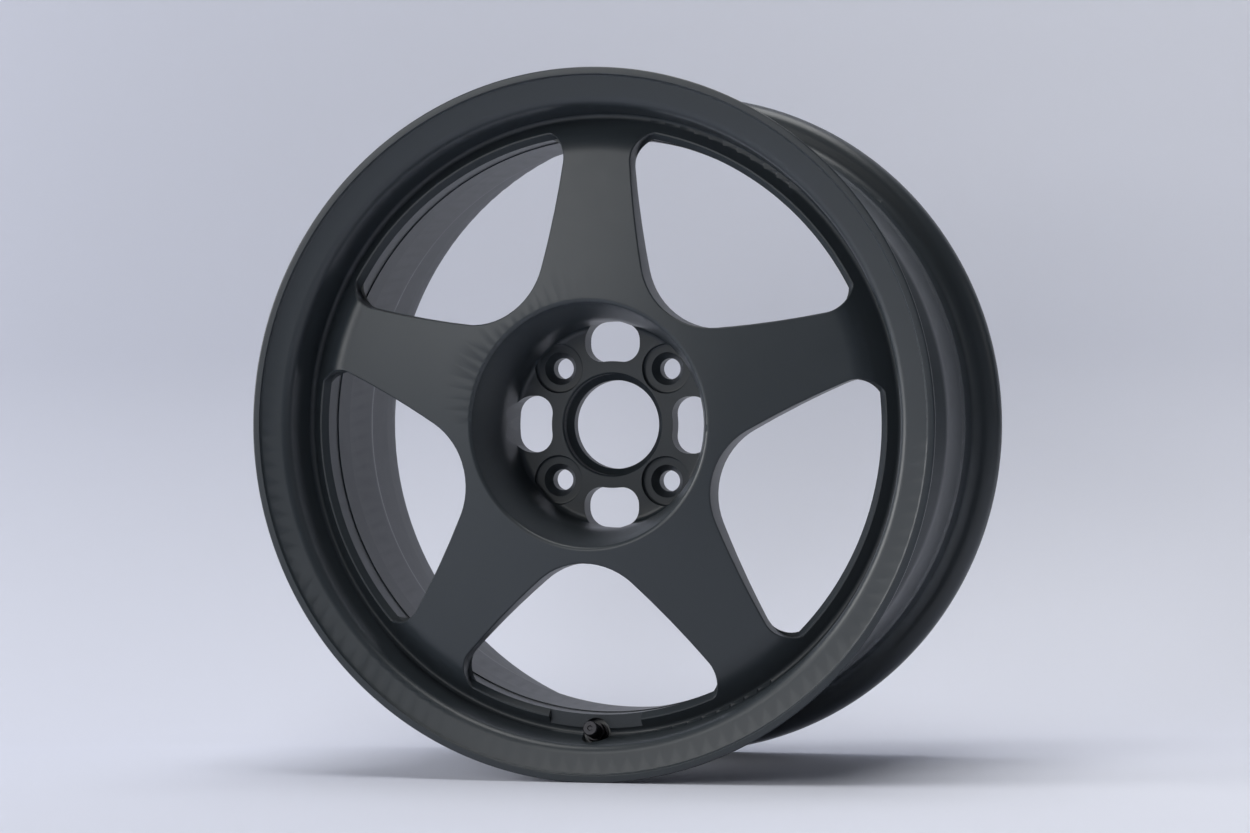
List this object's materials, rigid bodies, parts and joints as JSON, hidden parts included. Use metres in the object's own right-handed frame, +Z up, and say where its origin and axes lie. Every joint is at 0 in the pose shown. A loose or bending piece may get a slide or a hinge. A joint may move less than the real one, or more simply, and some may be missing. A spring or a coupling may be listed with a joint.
{
  "type": "forged racing wheel rim",
  "caption": "One-piece forged racing wheel rim with flat spokes, a deep slotted hub bowl and a clamp-in tyre valve.",
  "frame": {"origin": "middle of the hub mounting face, on the wheel's axis", "axes": "+Z up as the wheel stands, +Y along the wheel's axis towards the inboard side, the outboard face looks along -Y"},
  "size_m": [0.44, 0.2108, 0.44],
  "materials": {
    "rim_paint": "satin blue-black powder coat over forged aluminium",
    "plated_brass": "black plated brass",
    "brass": "plain turned brass",
    "black_metal": "black zinc",
    "cap_metal": "black anodised, bright worn edge",
    "black_rubber": "moulded rubber",
    "sealing_plastic": "smooth sealing plastic",
    "spring_steel": "bright spring wire"
  },
  "bodies": {
    "rim": {"rim_forging": "rim_paint", "valve_stem": "plated_brass", "valve_seal": "black_rubber", "valve_washer": "black_metal", "valve_nut": "black_metal", "core_plug": "brass", "core_gasket": "sealing_plastic", "core_barrel": "brass", "core_spring": "spring_steel"},
    "cap_insert": {"cap_seal": "black_rubber"},
    "cap": {"valve_cap": "cap_metal"},
    "core_needle": {"core_pin": "brass", "core_cup": "brass", "core_seal": "black_rubber"}
  },
  "joints": [
    {"name": "cap_lift", "type": "slide", "parent": "rim", "child": "cap_insert", "axis": [0.0053, -0.9613, 0.2756], "range_m": [0, 0.00397]},
    {"name": "cap_turn", "type": "hinge", "parent": "cap_insert", "child": "cap", "pos_m": [-0.0037, -0.0444, -0.19246], "axis": [0.0053, -0.9613, 0.2756], "range_deg": [0, 1800]},
    {"name": "core_press", "type": "slide", "parent": "rim", "child": "core_needle", "axis": [-0.0053, 0.9613, -0.2756], "range_m": [0, 0.0012], "stiffness_N_per_m": 900, "springref_m": -0.0022, "deforming": ["core_spring"]}
  ],
  "couplings": [
    {"joint": "cap_turn", "follows": "cap_lift", "rad_per_m": 7913}
  ]
}
